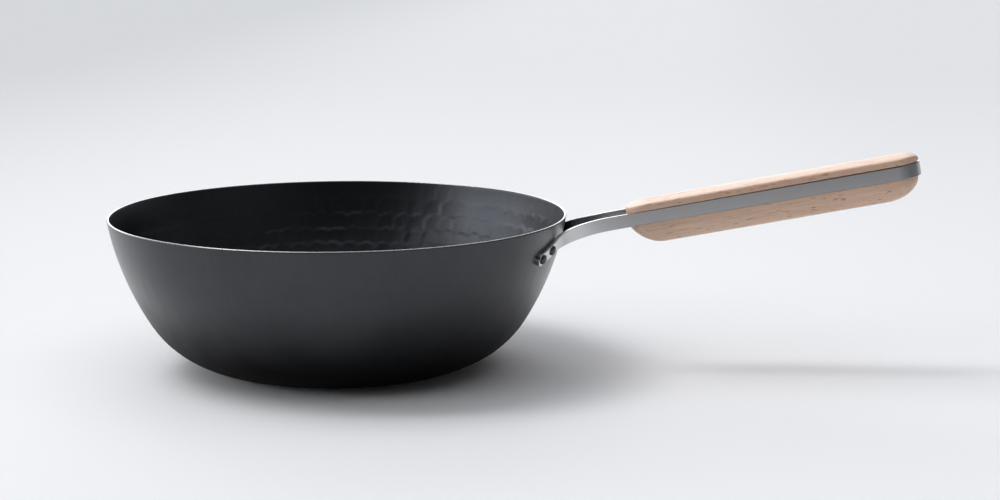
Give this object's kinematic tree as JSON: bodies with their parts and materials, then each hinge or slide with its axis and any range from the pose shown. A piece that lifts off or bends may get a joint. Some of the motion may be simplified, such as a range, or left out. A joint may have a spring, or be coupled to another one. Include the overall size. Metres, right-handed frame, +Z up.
{
  "type": "carbon steel wok",
  "caption": "Flat-bottomed round wok of dark hammered carbon steel with a riveted stainless strap handle bent into a loop round a pale wooden grip.",
  "frame": {"origin": "centre of the base's underside, where the wok stands", "axes": "+Z up along the bowl's axis, +X from the bowl's centre out along the handle, +Y to the left seen from the bowl towards the grip"},
  "size_m": [0.5257, 0.2996, 0.1443],
  "materials": {
    "carbon_steel": "satin",
    "stainless_strap": "satin",
    "beech": "matte",
    "rivet_steel": "satin"
  },
  "bodies": {
    "root": {"bowl": "carbon_steel", "handle_strap": "stainless_strap", "grip": "beech", "rivet_left_inner": "rivet_steel", "rivet_left_outer": "rivet_steel", "rivet_right_inner": "rivet_steel", "rivet_right_outer": "rivet_steel"}
  },
  "joints": []
}
